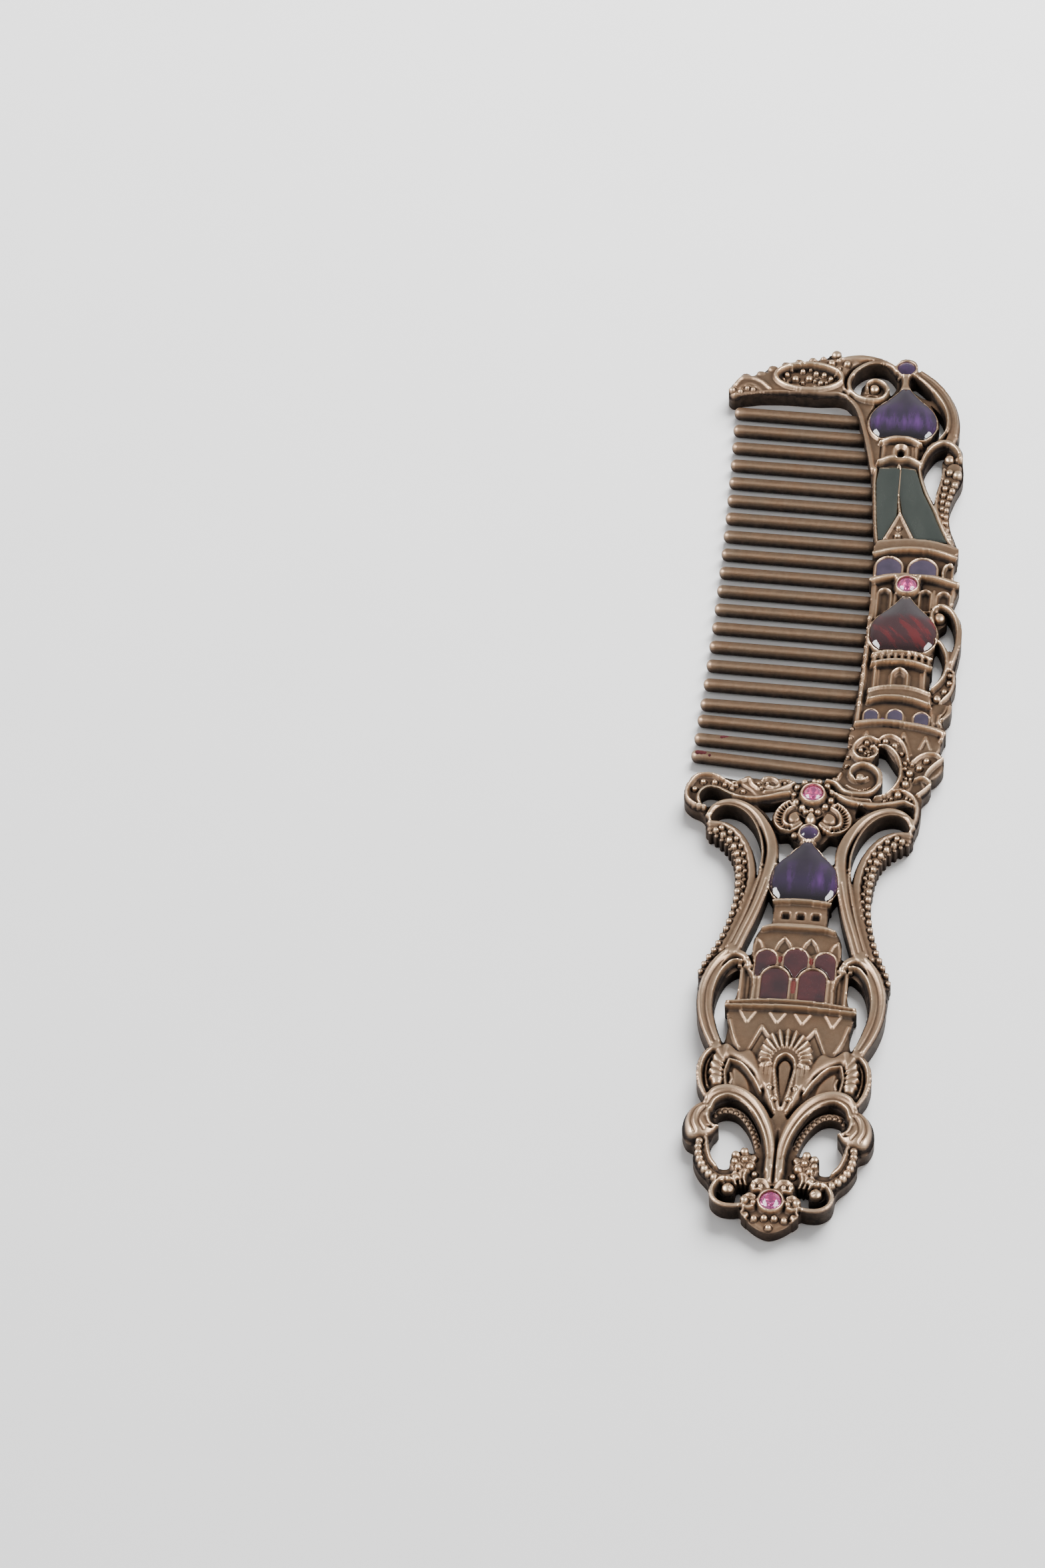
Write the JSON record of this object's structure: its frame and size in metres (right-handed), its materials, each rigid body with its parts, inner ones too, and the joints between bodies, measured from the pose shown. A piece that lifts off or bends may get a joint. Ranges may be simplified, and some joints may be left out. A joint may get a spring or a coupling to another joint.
{
  "type": "decorative hair comb",
  "caption": "Handled side comb of cast metal in antique copper: towers with enamel domes and windows, scrollwork, set round stones and a row of straight teeth.",
  "frame": {"origin": "on the flat back, directly under the centre of the crossguard stone, on the handle's centre line", "axes": "+Z out of the decorated face, +Y along the comb from the handle to the end guard, teeth pointing along -X"},
  "size_m": [0.0424, 0.18, 0.0044],
  "materials": {
    "antique_copper": "antique copper plating, satin, dark in the recesses and polished on the edges",
    "violet_enamel": "glossy translucent hard enamel, dark violet",
    "green_enamel": "glossy hard enamel, dark grey green",
    "red_enamel": "glossy translucent hard enamel, dark red",
    "pink_stone": "faceted glass, foil backed, pink"
  },
  "bodies": {
    "root": {"end_guard": "antique_copper", "roof_section": "antique_copper", "dome_section": "antique_copper", "crossguard": "antique_copper", "left_arm": "antique_copper", "right_arm": "antique_copper", "grip_tower": "antique_copper", "palmette": "antique_copper", "pommel": "antique_copper", "tooth_01": "antique_copper", "tooth_02": "antique_copper", "tooth_03": "antique_copper", "tooth_04": "antique_copper", "tooth_05": "antique_copper", "tooth_06": "antique_copper", "tooth_07": "antique_copper", "tooth_08": "antique_copper", "tooth_09": "antique_copper", "tooth_10": "antique_copper", "tooth_11": "antique_copper", "tooth_12": "antique_copper", "tooth_13": "antique_copper", "tooth_14": "antique_copper", "tooth_15": "antique_copper", "tooth_16": "antique_copper", "tooth_17": "antique_copper", "tooth_18": "antique_copper", "tooth_19": "antique_copper", "tooth_20": "antique_copper", "top_ball_enamel": "violet_enamel", "top_dome_enamel": "violet_enamel", "roof_panel_left_enamel": "green_enamel", "roof_panel_right_enamel": "green_enamel", "gallery_window_left_enamel": "violet_enamel", "gallery_window_right_enamel": "violet_enamel", "red_dome_enamel": "red_enamel", "lower_window_left_enamel": "violet_enamel", "lower_window_middle_enamel": "violet_enamel", "lower_window_right_enamel": "violet_enamel", "handle_ball_enamel": "violet_enamel", "handle_dome_enamel": "violet_enamel", "arcade_upper_left_enamel": "red_enamel", "arcade_upper_middle_enamel": "red_enamel", "arcade_upper_right_enamel": "red_enamel", "arcade_lower_left_enamel": "red_enamel", "arcade_lower_right_enamel": "red_enamel", "crossguard_stone": "pink_stone", "spine_stone": "pink_stone", "pommel_stone": "pink_stone"}
  },
  "joints": []
}
